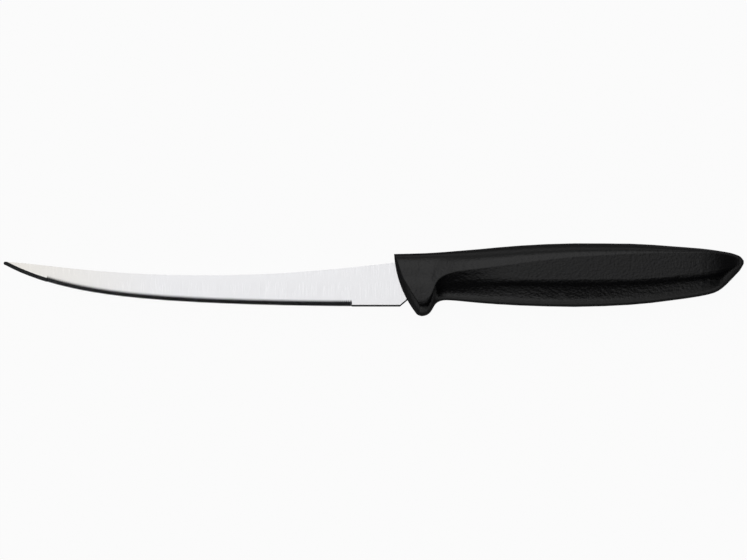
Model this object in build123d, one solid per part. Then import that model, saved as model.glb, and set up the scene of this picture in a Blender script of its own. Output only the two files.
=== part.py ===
from build123d import *
import math
import os

# A tomato knife lying on its side: point towards -X, butt towards +X, spine towards +Y,
# cutting edge towards -Y, and the side of the blade that carries the serrations up, towards +Z.
# Lengths are in millimetres and angles in degrees. While a piece is made, x is 0 at the foremost
# point of the handle, y is 0 on the long axis and z is 0 in the middle of the sheet.

# Blade, seen from the side
blade_length = 125.5
blade_height = 14.5
heel_drop = 10.17
heel_length = 13.5
heel_corner = 1.95
heel_chamfer_angle = 40.0
nose_length = 0.5
# Each spine point: share of the blade's length from the handle, share of its height above the heel.
# The first one lies inside the handle.
spine_shares = (
    (-0.024, 1.003),
    (0.087, 0.888),
    (0.189, 0.805),
    (0.292, 0.738),
    (0.394, 0.704),
    (0.496, 0.692),
    (0.599, 0.708),
    (0.701, 0.752),
    (0.804, 0.826),
    (0.891, 0.910),
    (0.952, 0.965),
    (0.996, 0.998),
)
# The edge rises from the heel to the point by two powers of the share of its run.
edge_rise_shares = (0.366, 0.575)
edge_powers = (2, 6)
edge_points = 18

# Blade, seen in section: the sheet and its taper grind
sheet_thickness = 1.2
heel_thickness = 0.66
point_thickness = 0.73
grind_overlap = 4.0

# Ground edge
plain_tip_length = 13.5
plain_bevel_height = 1.4
serration_pitch = 0.667
ridge_height = 1.4
groove_height = 2.3
bevel_angle = 15.0
hone_height = 0.45
hone_angle = 30.0
easing_height = 0.6
easing_angle = 20.0

# Tang
tang_length = 84.0
tang_width = 9.2
tang_end_radius = 2.5
tang_hole_diameter = 4.0
tang_hole_count = 3
tang_hole_spacing = 26.0
tang_hole_inset = 10.0

# Handle
handle_length = 112.5
handle_height = 23.48
handle_thickness = 13.4
guard_drop = 13.26
front_side_radius = 34.2
front_dome_depth = 3.15
front_centre_rise = 8.53
front_kink_angle = 6.0
crease_kink_angle = 14.0
scoop_lean_angle = 14.0
# Each station: share of the handle's length from its front; the top, the crease, the foot of the
# side and the bottom as shares of the height above the guard's lowest point; the half thickness
# at the crease as a share of half the handle's thickness; the share of the front's wedge in the
# form; how far the side below the crease leans in, as a share of the scoop's lean.
station_shares = (
    (-0.020, 0.850, 0.240, 0.215, 0.190, 0.925, 1.00, 0.00),
    (0.050, 0.858, 0.232, 0.207, 0.090, 0.925, 1.00, 0.00),
    (0.067, 0.860, 0.230, 0.205, 0.020, 0.923, 1.00, 0.00),
    (0.080, 0.862, 0.232, 0.208, 0.000, 0.920, 0.97, 0.00),
    (0.095, 0.865, 0.250, 0.222, 0.017, 0.915, 0.90, 0.10),
    (0.106, 0.868, 0.300, 0.255, 0.065, 0.897, 0.78, 0.50),
    (0.113, 0.870, 0.380, 0.300, 0.121, 0.869, 0.68, 0.85),
    (0.120, 0.872, 0.460, 0.355, 0.171, 0.840, 0.58, 1.00),
    (0.132, 0.876, 0.530, 0.410, 0.206, 0.817, 0.46, 1.00),
    (0.149, 0.882, 0.575, 0.450, 0.219, 0.824, 0.36, 1.00),
    (0.177, 0.893, 0.612, 0.480, 0.212, 0.868, 0.24, 0.90),
    (0.246, 0.920, 0.656, 0.510, 0.180, 0.955, 0.08, 0.45),
    (0.360, 0.968, 0.725, 0.530, 0.146, 1.004, 0.00, 0.00),
    (0.517, 0.999, 0.808, 0.530, 0.127, 1.004, 0.00, 0.00),
    (0.675, 0.994, 0.850, 0.535, 0.155, 1.004, 0.00, 0.00),
    (0.789, 0.961, 0.867, 0.570, 0.213, 1.004, 0.00, 0.00),
    (0.875, 0.929, 0.868, 0.600, 0.273, 0.985, 0.00, 0.00),
    (0.915, 0.906, 0.855, 0.625, 0.319, 0.925, 0.00, 0.00),
    (0.937, 0.889, 0.843, 0.650, 0.378, 0.850, 0.00, 0.00),
    (0.960, 0.870, 0.825, 0.685, 0.481, 0.710, 0.00, 0.00),
    (0.977, 0.846, 0.800, 0.710, 0.566, 0.550, 0.00, 0.00),
    (0.989, 0.821, 0.775, 0.720, 0.629, 0.390, 0.00, 0.00),
    (0.996, 0.785, 0.752, 0.725, 0.685, 0.240, 0.00, 0.00),
    (0.999, 0.765, 0.748, 0.728, 0.710, 0.140, 0.00, 0.00),
)
# Points from the top down to the crease: share of the half thickness, share of the rise to the top.
grip_shoulder_shares = ((0.60, 0.80), (0.90, 0.42))
front_shoulder_shares = ((0.47, 0.92), (0.79, 0.47))
# A point between the foot of the side and the bottom, in the same way.
grip_flank_shares = (0.76, 0.54)
front_flank_shares = (0.80, 0.60)

# Bands of the handle's surface from one station to the next
bands_per_station = 2
# All cuts run past the material by this much.
overrun = 5.0

half_sheet = sheet_thickness / 2
half_handle = handle_thickness / 2
heel_x = -heel_length
edge_run = blade_length - heel_length


def blend(front, grip, front_share):
    return front * front_share + grip * (1 - front_share)


def tangent(angle):
    return math.tan(math.radians(angle))


def blank_edge(x):
    # height of the sheet's lower outline at x
    run_share = max(0, (heel_x - x) / edge_run)
    gentle, steep = (rise * run_share**power for rise, power in zip(edge_rise_shares, edge_powers))
    return blade_height * (gentle + steep) - heel_drop


def spine_point(shares):
    along, up = shares
    return (-blade_length * along, blade_height * up - heel_drop)


grind_top = spine_point(spine_shares[0])[1]
edge_slope = (sheet_thickness - heel_thickness) / 2 / blade_height
point_slope = (sheet_thickness - point_thickness) / 2 / blade_length


def ground_half_thickness(x, y):
    # half of the sheet's thickness that the taper grind leaves
    return half_sheet - edge_slope * (grind_top - y) - point_slope * (grind_overlap - x)


def edge_cut(curve, outline, angle, side):
    # what lies below the outline on one face of the blade, sloping down to the edge at an angle
    raised = []
    for x, y in outline:
        drop = half_sheet - ground_half_thickness(x, y)
        raised.append((x, y + drop / tangent(angle)))
    floor = -heel_drop - overrun
    below = Polyline(raised[-1], (raised[-1][0], floor), (raised[0][0], floor), raised[0])
    face = Plane.XY.offset(side * half_sheet) * make_face(curve(*raised) + below)
    slope = math.radians(angle)
    reach = (sheet_thickness + overrun) / math.sin(slope)
    return extrude(face, amount=reach, dir=(0, -math.cos(slope), -side * math.sin(slope)))


def along_edge(start_x, end_x, height):
    # points at a height above the sheet's lower outline
    step = (end_x - start_x) / (edge_points - 1)
    places = [start_x + step * index for index in range(edge_points)]
    return [(x, blank_edge(x) + height) for x in places]


def blade_blank():
    # the stamped sheet with its tang, before the edge is ground
    spine = [spine_point(shares) for shares in spine_shares]
    tang_top = spine[0][1]
    tang_foot = tang_top - tang_width
    shoulder_x = heel_corner + (tang_foot + heel_drop) / tangent(heel_chamfer_angle)
    nose_x = nose_length - blade_length
    edge = along_edge(nose_x, heel_x, 0)
    point = (-blade_length, (spine[-1][1] + edge[0][1]) / 2)
    outline = [
        Spline(*spine),
        ThreePointArc(spine[-1], point, edge[0]),
        Spline(*edge),
        Polyline(
            edge[-1],
            (heel_corner, -heel_drop),
            (shoulder_x, tang_foot),
            (tang_length, tang_foot),
            (tang_length, tang_top),
            spine[0],
        ),
    ]
    face = make_face(Curve() + outline)
    tang_corners = face.vertices().group_by(Axis.X)[-1]
    face = fillet(tang_corners, tang_end_radius)
    tang_middle = tang_top - tang_width / 2
    for index in range(tang_hole_count):
        hole_x = tang_length - tang_hole_inset - tang_hole_spacing * index
        face -= Pos(hole_x, tang_middle) * Circle(tang_hole_diameter / 2)
    sheet = extrude(face, amount=half_sheet, both=True)
    grind_plane = Plane(
        origin=(grind_overlap, grind_top, half_sheet),
        x_dir=(1, 0, point_slope),
        z_dir=(-point_slope, -edge_slope, 1),
    )
    reach = blade_length + grind_overlap + overrun
    wheel = grind_plane * Box(
        reach, reach, overrun, align=(Align.MAX, Align.CENTER, Align.MIN)
    )
    return sheet - wheel - mirror(wheel, about=Plane.XY)


def ground_blade(blank):
    # plain bevel at the tip, serrations from there to the heel, and the fine hone on the back
    serrated_length = edge_run - plain_tip_length
    groove_count = int(serrated_length / serration_pitch)
    serration_start = heel_x - groove_count * serration_pitch
    beyond_point = -blade_length - nose_length
    plain = along_edge(beyond_point, serration_start + serration_pitch, plain_bevel_height)
    zigzag = []
    for index in range(2 * groove_count + 1):
        x = serration_start + index * serration_pitch / 2
        height = groove_height if index % 2 else ridge_height
        zigzag.append((x, blank_edge(x) + height))
    hone = along_edge(beyond_point, heel_x, hone_height)
    eased = easing_height - heel_drop
    easing = [(heel_x, eased), (heel_corner, eased)]
    easing.append((heel_corner + overrun, eased + overrun * tangent(heel_chamfer_angle)))
    blade = blank - edge_cut(Spline, plain, bevel_angle, 1)
    blade -= edge_cut(Polyline, zigzag, bevel_angle, 1)
    blade -= edge_cut(Spline, hone, hone_angle, -1)
    for side in (1, -1):
        blade -= edge_cut(Polyline, easing, easing_angle, side)
    return blade


def smooth_curve(values):
    # a curve through values at the places 0, 1, 2 and so on, that never swings past them
    steps = [after - before for before, after in zip(values, values[1:])]
    slopes = [steps[0]]
    for before, after in zip(steps, steps[1:]):
        slopes.append(2 * before * after / (before + after) if before * after > 0 else 0)
    slopes.append(steps[-1])

    def value_at(place):
        index = min(int(place), len(steps) - 1)
        part = place - index
        rise, start, end = steps[index], slopes[index], slopes[index + 1]
        bend = 3 * rise - 2 * start - end
        twist = start + end - 2 * rise
        return values[index] + start * part + bend * part**2 + twist * part**3

    return value_at


def handle_section(shares):
    # the closed outline of the handle, square to its length
    along, *levels, half_share, front_share, lean_share = shares
    top, crease, foot, bottom = (handle_height * level - guard_drop for level in levels)
    half = half_handle * half_share
    lean = tangent(scoop_lean_angle * lean_share)
    foot_half = half - (crease - foot) * lean
    kink = math.radians(blend(front_kink_angle, crease_kink_angle, front_share))
    upper = [(top, 0)]
    for front, grip in zip(front_shoulder_shares, grip_shoulder_shares):
        out, up = (blend(a, b, front_share) for a, b in zip(front, grip))
        upper.append((crease + (top - crease) * up, half * out))
    upper.append((crease, half))
    out, down = (blend(a, b, front_share) for a, b in zip(front_flank_shares, grip_flank_shares))
    lower = [(foot, foot_half), (foot + (bottom - foot) * down, foot_half * out), (bottom, 0)]
    near_side = [
        Spline(*upper, tangents=[(0, 1), (-math.cos(kink), math.sin(kink))]),
        Line(upper[-1], lower[0]),
        Spline(*lower, tangents=[(-1, -lean), (0, -1)]),
    ]
    far_side = [mirror(edge, about=Plane.XZ) for edge in near_side]
    return Plane.YZ.offset(handle_length * along) * make_face(Curve() + near_side + far_side)


def handle_body():
    # narrow ruled bands between sections, each taken from smooth curves through the stations
    columns = [smooth_curve(column) for column in zip(*station_shares)]
    section_count = (len(station_shares) - 1) * bands_per_station + 1
    places = [index / bands_per_station for index in range(section_count)]
    sections = [handle_section([column(place) for column in columns]) for place in places]
    return loft(sections, ruled=True)


def front_cutter():
    # what lies ahead of the domed front: an arc in plan, turned about the centre of the side arc
    corners = [(front_dome_depth, -half_handle), (front_dome_depth, half_handle)]
    dome = ThreePointArc(corners[0], (0, 0), corners[1])
    back = [(front_side_radius, half_handle), (front_side_radius, -half_handle)]
    profile = Plane.XZ.offset(-front_centre_rise) * make_face(dome + Polyline(corners[1], *back, corners[0]))
    barrel = revolve(profile, Axis((front_side_radius, front_centre_rise, 0), (0, 0, 1)))
    block = Pos(front_side_radius / 2, 0, 0) * Box(
        front_side_radius,
        2 * handle_height,
        handle_thickness,
        align=(Align.MAX, Align.CENTER, Align.CENTER),
    )
    return block - barrel


def moulded_handle(blade):
    # both sides are trimmed flat, and the plastic fills the holes of the tang that it surrounds
    slab = Box(3 * handle_length, 3 * handle_height, handle_thickness)
    return (handle_body() & slab) - front_cutter() - blade


blade = ground_blade(blade_blank())
pieces = {
    "blade": blade,
    "handle": moulded_handle(blade),
}

# The origin goes to the middle of the knife's underside as it lies.
middle_x = (handle_length - blade_length) / 2
middle_y = handle_height / 2 - guard_drop
os.makedirs("parts", exist_ok=True)
for name, piece in pieces.items():
    placed = Pos(-middle_x, -middle_y, half_handle) * piece
    export_step(placed, f"parts/{name}.step")
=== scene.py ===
import math

import bpy
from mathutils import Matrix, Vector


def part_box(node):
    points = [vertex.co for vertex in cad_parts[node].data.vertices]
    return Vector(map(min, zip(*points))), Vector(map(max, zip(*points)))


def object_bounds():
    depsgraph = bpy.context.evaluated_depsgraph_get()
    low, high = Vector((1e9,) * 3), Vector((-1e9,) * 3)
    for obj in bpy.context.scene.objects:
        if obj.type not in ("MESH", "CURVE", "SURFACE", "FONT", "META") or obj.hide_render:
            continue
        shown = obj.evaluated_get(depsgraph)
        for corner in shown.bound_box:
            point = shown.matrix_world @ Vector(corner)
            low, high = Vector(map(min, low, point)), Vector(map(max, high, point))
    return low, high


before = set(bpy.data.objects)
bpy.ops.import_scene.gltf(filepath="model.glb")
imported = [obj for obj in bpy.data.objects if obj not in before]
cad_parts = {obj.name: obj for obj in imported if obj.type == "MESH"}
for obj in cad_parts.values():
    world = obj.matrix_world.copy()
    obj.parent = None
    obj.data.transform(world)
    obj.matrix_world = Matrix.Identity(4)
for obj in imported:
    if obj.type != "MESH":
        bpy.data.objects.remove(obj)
cadLow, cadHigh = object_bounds()
print("frame loaded:", ", ".join(sorted(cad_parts)))

mm = 0.001
scene = bpy.context.scene


# colours and node helpers

def hexColour(code):
    # an sRGB hex colour as the linear values that Blender's sockets take
    channels = [int(code[i:i + 2], 16) / 255 for i in (1, 3, 5)]
    linear = [c / 12.92 if c <= 0.04045 else ((c + 0.055) / 1.055) ** 2.4 for c in channels]
    return (*linear, 1)


def newMaterial(name):
    material = bpy.data.materials.new(name)
    material.use_nodes = True
    shader = material.node_tree.nodes["Principled BSDF"]
    return material, material.node_tree, shader


def addNode(tree, kind, settings=None, links=None):
    # a node with its settings, and what feeds its inputs: an output socket or a plain value
    node = tree.nodes.new(kind)
    for key, value in (settings or {}).items():
        setattr(node, key, value)
    for key, value in (links or {}).items():
        if isinstance(value, bpy.types.NodeSocket):
            tree.links.new(value, node.inputs[key])
        else:
            node.inputs[key].default_value = value
    return node


def giveFinishes(piece, materials, chooseFinish):
    # each face of a piece takes the finish that its direction calls for
    piece.data.materials.clear()
    for material in materials:
        piece.data.materials.append(material)
    for face in piece.data.polygons:
        face.material_index = chooseFinish(face.normal)


# blade: stainless sheet with three finishes

bladeLook = {
    "side": "#d6d6d8",          # ground stainless, a little warm towards the point
    "pointTint": "#d4d1cb",
    "tintLength": 50.0,         # mm from the point over which the warmth fades
    "grindLine": 0.12,          # mm, width of one grinding line across the blade
    "grindStretch": 60,         # how many times longer than wide such a line is
    "grindDepth": 0.004,        # mm
    "sideRoughness": 0.30,
    "brightLine": 0.04,         # how much smoother the brightest lines are than that
    "dullLine": 0.05,           # and how much rougher the dullest
    "bevel": "#c3c6c8",
    "wheelLine": 0.06,          # mm, lines that the edge wheel leaves
    "wheelStretch": 30,         # how many times longer than wide they are
    "wheelDepth": 0.003,        # mm
    "bevelRoughness": 0.18,
    "lineStrength": 0.5,        # share of the depth of both kinds of line that shows
    "cut": "#8f9092",
    "cutGrain": 0.3,            # mm, torn grain of the punched rim
    "cutDepth": 0.01,           # mm
    "cutStrength": 0.6,
    "cutRoughness": 0.42,
    "sideTilt": 4,              # degrees from flat: less is the side, more is the ground edge
    "edgeTilt": 50,             # more than this is the rim
}


def groundSide():
    # satin-ground stainless steel: fine lines square to the spine spread the light along the blade
    material, tree, shader = newMaterial("satin_ground_stainless")
    place = addNode(tree, "ShaderNodeTexCoord").outputs["Object"]
    across = 1 / (bladeLook["grindLine"] * mm)
    along = across / bladeLook["grindStretch"]
    stretch = addNode(tree, "ShaderNodeMapping", links={
        "Vector": place, "Scale": (across, along, along)})
    lines = addNode(tree, "ShaderNodeTexNoise", links={
        "Vector": stretch.outputs["Vector"], "Scale": 1.0, "Detail": 3.0, "Roughness": 0.6})
    roughness = addNode(tree, "ShaderNodeMapRange", links={
        "Value": lines.outputs["Fac"], "From Min": 0.3, "From Max": 0.7,
        "To Min": bladeLook["sideRoughness"] - bladeLook["brightLine"],
        "To Max": bladeLook["sideRoughness"] + bladeLook["dullLine"]})
    fromMiddle = addNode(tree, "ShaderNodeSeparateXYZ", links={"Vector": place}).outputs["X"]
    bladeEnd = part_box("blade")[0].x
    nearPoint = addNode(tree, "ShaderNodeMapRange", links={
        "Value": fromMiddle,
        "From Min": bladeEnd, "From Max": bladeEnd + bladeLook["tintLength"] * mm,
        "To Min": 1.0, "To Max": 0.0})
    # a Mix node takes its colours at sockets 6 and 7 and gives the mixed one at 2
    tint = addNode(tree, "ShaderNodeMix", {"data_type": "RGBA"}, {
        0: nearPoint.outputs["Result"],
        6: hexColour(bladeLook["side"]), 7: hexColour(bladeLook["pointTint"])})
    bump = addNode(tree, "ShaderNodeBump", links={
        "Height": lines.outputs["Fac"],
        "Distance": bladeLook["grindDepth"] * mm, "Strength": bladeLook["lineStrength"]})
    tree.links.new(tint.outputs[2], shader.inputs["Base Color"])
    tree.links.new(roughness.outputs["Result"], shader.inputs["Roughness"])
    tree.links.new(bump.outputs["Normal"], shader.inputs["Normal"])
    shader.inputs["Metallic"].default_value = 1
    return material


def groundBevel():
    # freshly ground edge: smoother than the sides, so it mirrors dark and light more sharply
    material, tree, shader = newMaterial("wheel_ground_edge")
    place = addNode(tree, "ShaderNodeTexCoord").outputs["Object"]
    across = 1 / (bladeLook["wheelLine"] * mm)
    along = across / bladeLook["wheelStretch"]
    stretch = addNode(tree, "ShaderNodeMapping", links={
        "Vector": place, "Scale": (across, along, along)})
    lines = addNode(tree, "ShaderNodeTexNoise", links={
        "Vector": stretch.outputs["Vector"], "Scale": 1.0, "Detail": 2.0})
    bump = addNode(tree, "ShaderNodeBump", links={
        "Height": lines.outputs["Fac"],
        "Distance": bladeLook["wheelDepth"] * mm, "Strength": bladeLook["lineStrength"]})
    tree.links.new(bump.outputs["Normal"], shader.inputs["Normal"])
    shader.inputs["Base Color"].default_value = hexColour(bladeLook["bevel"])
    shader.inputs["Roughness"].default_value = bladeLook["bevelRoughness"]
    shader.inputs["Metallic"].default_value = 1
    return material


def punchedRim():
    # rim of the sheet as the press left it: duller and darker than the ground sides
    material, tree, shader = newMaterial("press_cut_stainless")
    place = addNode(tree, "ShaderNodeTexCoord").outputs["Object"]
    tear = addNode(tree, "ShaderNodeTexNoise", links={
        "Vector": place, "Scale": 1 / (bladeLook["cutGrain"] * mm), "Detail": 3.0})
    bump = addNode(tree, "ShaderNodeBump", links={
        "Height": tear.outputs["Fac"],
        "Distance": bladeLook["cutDepth"] * mm, "Strength": bladeLook["cutStrength"]})
    tree.links.new(bump.outputs["Normal"], shader.inputs["Normal"])
    shader.inputs["Base Color"].default_value = hexColour(bladeLook["cut"])
    shader.inputs["Roughness"].default_value = bladeLook["cutRoughness"]
    shader.inputs["Metallic"].default_value = 1
    return material


def bladeFinish(normal):
    # 0 is the side, 1 the ground edge and 2 the rim
    tilt = math.degrees(math.acos(min(1, abs(normal.z))))
    if tilt < bladeLook["sideTilt"]:
        return 0
    return 1 if tilt < bladeLook["edgeTilt"] else 2


giveFinishes(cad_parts["blade"], [groundSide(), groundBevel(), punchedRim()], bladeFinish)
print("blade finished")


# handle: one black moulding

handleLook = {
    "body": "#050506",
    "grain": 0.90,              # mm, pits of the spark-eroded mould, drawn coarse enough to see
    "grainDepth": 0.10,         # mm
    "bodyRoughness": 0.27,
    "front": "#050506",
    "frontRoughness": 0.22,
    "frontTurn": -0.4,          # faces that point further towards -X than this belong to the front
    "ior": 1.49,                # polypropylene
    "sheen": 0.2,               # specular level, low because the skin of the mould is dull
    "partingWidth": 0.12,       # mm, where the mould's halves meet
    "partingRise": 1.5,         # how high that line stands, in depths of the grain
    "edgeRadius": 0.5,          # mm, the small round that every edge of the mould leaves
    "glanceStart": 0.20,        # where the sheen begins to dull: 0 seen square on, 1 edge on
    "glanceEnd": 0.60,
    "glanceRoughness": 1.0,
}


def roundedEdges(tree):
    # the moulding's edges catch the light on a small round
    return addNode(tree, "ShaderNodeBevel", {"samples": 8}, {
        "Radius": handleLook["edgeRadius"] * mm}).outputs["Normal"]


def glancingSheen(tree, roughness):
    # at a glance the rough skin of the mould shows, so the outermost rim stays black
    glance = addNode(tree, "ShaderNodeLayerWeight", links={"Blend": 0.5})
    return addNode(tree, "ShaderNodeMapRange", {"interpolation_type": "SMOOTHSTEP"}, {
        "Value": glance.outputs["Facing"],
        "From Min": handleLook["glanceStart"], "From Max": handleLook["glanceEnd"],
        "To Min": roughness, "To Max": handleLook["glanceRoughness"]}).outputs["Result"]


def grainedPlastic():
    # injection-moulded polypropylene with a spark-eroded grain: black with a dull, broken sheen
    material, tree, shader = newMaterial("moulded_polypropylene_grained")
    place = addNode(tree, "ShaderNodeTexCoord").outputs["Object"]
    grain = addNode(tree, "ShaderNodeTexNoise", links={
        "Vector": place, "Scale": 1 / (handleLook["grain"] * mm),
        "Detail": 2.0, "Roughness": 0.55})
    low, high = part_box("handle")
    middle = (low.z + high.z) / 2
    height = addNode(tree, "ShaderNodeSeparateXYZ", links={"Vector": place}).outputs["Z"]
    fromSeam = addNode(tree, "ShaderNodeMath", {"operation": "SUBTRACT"}, {
        0: height, 1: middle})
    distance = addNode(tree, "ShaderNodeMath", {"operation": "ABSOLUTE"}, {
        0: fromSeam.outputs[0]})
    seam = addNode(tree, "ShaderNodeMapRange", {"interpolation_type": "SMOOTHSTEP"}, {
        "Value": distance.outputs[0],
        "From Min": 0.0, "From Max": handleLook["partingWidth"] * mm,
        "To Min": handleLook["partingRise"], "To Max": 0.0})
    relief = addNode(tree, "ShaderNodeMath", {"operation": "ADD"}, {
        0: grain.outputs["Fac"], 1: seam.outputs["Result"]})
    bump = addNode(tree, "ShaderNodeBump", links={
        "Height": relief.outputs[0],
        "Distance": handleLook["grainDepth"] * mm, "Strength": 1.0,
        "Normal": roundedEdges(tree)})
    tree.links.new(bump.outputs["Normal"], shader.inputs["Normal"])
    shader.inputs["Base Color"].default_value = hexColour(handleLook["body"])
    tree.links.new(glancingSheen(tree, handleLook["bodyRoughness"]), shader.inputs["Roughness"])
    shader.inputs["IOR"].default_value = handleLook["ior"]
    shader.inputs["Specular IOR Level"].default_value = handleLook["sheen"]
    return material


def glossyPlastic():
    # the mould is polished at the front face, so the same plastic comes out glossy there
    material, tree, shader = newMaterial("moulded_polypropylene_polished")
    tree.links.new(roundedEdges(tree), shader.inputs["Normal"])
    shader.inputs["Base Color"].default_value = hexColour(handleLook["front"])
    tree.links.new(glancingSheen(tree, handleLook["frontRoughness"]), shader.inputs["Roughness"])
    shader.inputs["IOR"].default_value = handleLook["ior"]
    shader.inputs["Specular IOR Level"].default_value = handleLook["sheen"]
    return material


def handleFinish(normal):
    # 0 is the grained body and 1 the polished front
    return 1 if normal.x < handleLook["frontTurn"] else 0


giveFinishes(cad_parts["handle"], [grainedPlastic(), glossyPlastic()], handleFinish)
print("handle finished")


# table, studio light and camera

stageLook = {
    "table": "#b0b0b0",
    "tableRoughness": 0.9,
    "tableSize": 6.0,           # m
    "ownWhite": 0.95,           # share of plain white in the table as seen or mirrored
}


def whiteTable():
    # pale table that keeps the shadow, lifted to white for the camera and in what mirrors it
    material, tree, shader = newMaterial("white_table")
    shader.inputs["Base Color"].default_value = hexColour(stageLook["table"])
    shader.inputs["Roughness"].default_value = stageLook["tableRoughness"]
    path = addNode(tree, "ShaderNodeLightPath")
    mirrored = addNode(tree, "ShaderNodeMath", {"operation": "MAXIMUM"}, {
        0: path.outputs["Is Glossy Ray"], 1: path.outputs["Is Transmission Ray"]})
    seen = addNode(tree, "ShaderNodeMath", {"operation": "MAXIMUM"}, {
        0: path.outputs["Is Camera Ray"], 1: mirrored.outputs[0]})
    share = addNode(tree, "ShaderNodeMath", {"operation": "MULTIPLY"}, {
        0: seen.outputs[0], 1: stageLook["ownWhite"]})
    white = addNode(tree, "ShaderNodeEmission", links={"Color": (1, 1, 1, 1), "Strength": 1.0})
    mixed = addNode(tree, "ShaderNodeMixShader", links={
        0: share.outputs[0], 1: shader.outputs[0], 2: white.outputs[0]})
    tree.links.new(mixed.outputs[0], tree.nodes["Material Output"].inputs["Surface"])
    return material


bpy.ops.object.select_all(action="DESELECT")
bpy.ops.mesh.primitive_plane_add(size=stageLook["tableSize"], location=(0, 0, cadLow.z))
table = bpy.context.object
table.name = "table"
table.data.materials.append(whiteTable())

# The studio is one long softbox overhead, brightest towards the far side and fading towards both
# ends. It stops early towards the near side, which gives the edge and the lower flank of the grip
# their dark bands. A strip of light low over the near side brightens the foot of that flank.
studioLook = {
    "strength": 2.8,
    "across": (                 # direction towards -Y (0) to +Y (1), brightness
        (0.005, 0.30),
        (0.03, 0.95),
        (0.06, 0.85),
        (0.10, 0.01),
        (0.34, 0.01),
        (0.44, 0.61),
        (0.58, 0.66),
        (0.68, 1.00),
        (0.88, 0.95),
        (0.94, 0.42),
        (0.98, 0.28),
    ),
    "along": (                  # direction towards -X (0) to +X (1), brightness
        (0.05, 0.25),
        (0.28, 0.40),
        (0.36, 0.72),
        (0.43, 0.86),
        (0.50, 1.00),
        (0.52, 1.00),
        (0.56, 0.70),
        (0.63, 0.33),
        (0.74, 0.08),
    ),
}


def studioWorld():
    # the brightness of a direction is the product of the two rows of bands
    world = bpy.data.worlds.new("studio")
    scene.world = world
    world.use_nodes = True
    tree = world.node_tree
    direction = addNode(tree, "ShaderNodeTexCoord").outputs["Generated"]
    split = addNode(tree, "ShaderNodeSeparateXYZ", links={"Vector": direction})
    levels = []
    for axis, bands in (("Y", studioLook["across"]), ("X", studioLook["along"])):
        place = addNode(tree, "ShaderNodeMapRange", links={
            "Value": split.outputs[axis], "From Min": -1.0, "From Max": 1.0})
        level = addNode(tree, "ShaderNodeValToRGB", links={"Fac": place.outputs["Result"]})
        ramp = level.color_ramp
        while len(ramp.elements) < len(bands):
            ramp.elements.new(0.5)
        for element, (position, brightness) in zip(ramp.elements, bands):
            element.position = position
            element.color = (brightness, brightness, brightness, 1)
        levels.append(level.outputs["Color"])
    light = addNode(tree, "ShaderNodeMath", {"operation": "MULTIPLY"}, {
        0: levels[0], 1: levels[1]})
    strength = addNode(tree, "ShaderNodeMath", {"operation": "MULTIPLY"}, {
        0: light.outputs[0], 1: studioLook["strength"]})
    background = tree.nodes["Background"]
    background.inputs["Color"].default_value = (1, 1, 1, 1)
    tree.links.new(strength.outputs[0], background.inputs["Strength"])


studioWorld()

cameraLook = {
    "lens": 135.0,              # mm
    "sensorWidth": 36.0,        # mm
    "frameWidth": 240.2,        # mm that the picture spans at the level of the blade
    "aimX": -0.06,              # mm from the middle of the knife
    "aimY": -0.09,
    "nearest": 0.05,            # m, what the camera can see
    "farthest": 20,
}
bladeLow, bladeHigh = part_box("blade")
bladeLevel = (bladeLow.z + bladeHigh.z) / 2
distance = cameraLook["frameWidth"] * mm * cameraLook["lens"] / cameraLook["sensorWidth"]
bpy.ops.object.camera_add(
    location=(cameraLook["aimX"] * mm, cameraLook["aimY"] * mm, bladeLevel + distance),
    rotation=(0, 0, 0))
camera = bpy.context.object
camera.data.lens = cameraLook["lens"]
camera.data.sensor_width = cameraLook["sensorWidth"]
camera.data.clip_start = cameraLook["nearest"]
camera.data.clip_end = cameraLook["farthest"]
scene.camera = camera
scene.view_settings.view_transform = "Standard"
print("stage and camera placed")
